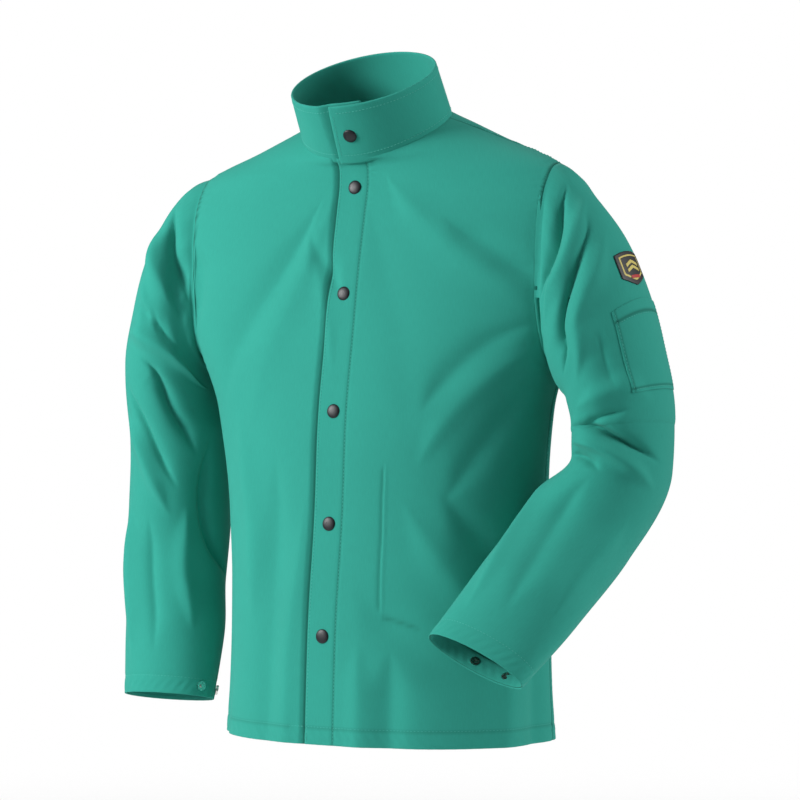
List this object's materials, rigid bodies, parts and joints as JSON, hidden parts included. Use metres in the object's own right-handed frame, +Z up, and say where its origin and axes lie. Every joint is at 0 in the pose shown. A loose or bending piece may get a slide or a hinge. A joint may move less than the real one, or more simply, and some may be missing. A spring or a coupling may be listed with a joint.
{
  "type": "welding jacket",
  "caption": "Flame-resistant cotton welding jacket with a stand collar, snap front with placket, sleeve pocket and snap cuffs, shown as worn.",
  "frame": {"origin": "level of the neck side points, on the centre plane, midway between front and back", "axes": "+Z up, the front faces -Y, +X towards the wearer's left"},
  "size_m": [0.7307, 0.3193, 0.819],
  "materials": {
    "shell": "matte",
    "badge": "satin",
    "black_snap": "glossy",
    "metal_snap": "polished"
  },
  "bodies": {
    "torso": {"back_panel": "shell", "left_front_panel": "shell", "inside_pocket": "shell", "right_front_panel": "shell", "right_front_facing": "shell", "collar_outer": "shell", "collar_inner": "shell", "front_studs": "metal_snap", "front_posts": "metal_snap"},
    "front_edge": {"placket": "shell", "placket_facing": "shell", "placket_caps": "black_snap", "placket_sockets": "metal_snap"},
    "collar_edge": {"collar_end_outer": "shell", "collar_end_inner": "shell", "collar_cap": "black_snap", "collar_socket": "metal_snap"},
    "left_upper_sleeve": {"left_sleeve_upper": "shell", "sleeve_pocket": "shell", "arm_badge": "badge"},
    "left_forearm": {"left_sleeve_lower": "shell", "left_cuff_stud": "metal_snap", "left_cuff_socket": "metal_snap", "left_cuff_washers": "metal_snap"},
    "right_upper_sleeve": {"right_sleeve_upper": "shell"},
    "right_forearm": {"right_sleeve_lower": "shell", "right_cuff_stud": "metal_snap", "right_cuff_socket": "metal_snap", "right_cuff_washers": "metal_snap"}
  },
  "joints": [
    {"name": "front_opening", "type": "hinge", "parent": "torso", "child": "front_edge", "pos_m": [0.045, -0.0795, -0.05], "axis": [0, 0.1211, 0.9926], "range_deg": [0, 70]},
    {"name": "collar_opening", "type": "hinge", "parent": "torso", "child": "collar_edge", "pos_m": [0.045, -0.0723, -0.0375], "axis": [0, -0.5557, 0.8314], "range_deg": [0, 70]},
    {"name": "left_shoulder_swing", "type": "hinge", "parent": "torso", "child": "left_upper_sleeve", "pos_m": [0.239, -0.004, -0.1735], "axis": [-1, 0, 0], "range_deg": [0, 35]},
    {"name": "left_elbow_bend", "type": "hinge", "parent": "left_upper_sleeve", "child": "left_forearm", "pos_m": [0.31328, -0.04148, -0.38927], "axis": [-0.9955, 0.0896, 0.0299], "range_deg": [0, 25]},
    {"name": "right_shoulder_swing", "type": "hinge", "parent": "torso", "child": "right_upper_sleeve", "pos_m": [-0.239, -0.004, -0.1735], "axis": [-1, 0, 0], "range_deg": [-12, 40]},
    {"name": "right_elbow_bend", "type": "hinge", "parent": "right_upper_sleeve", "child": "right_forearm", "pos_m": [-0.292, -0.04898, -0.37946], "axis": [-0.996, 0, 0.0896], "range_deg": [0, 45]}
  ]
}
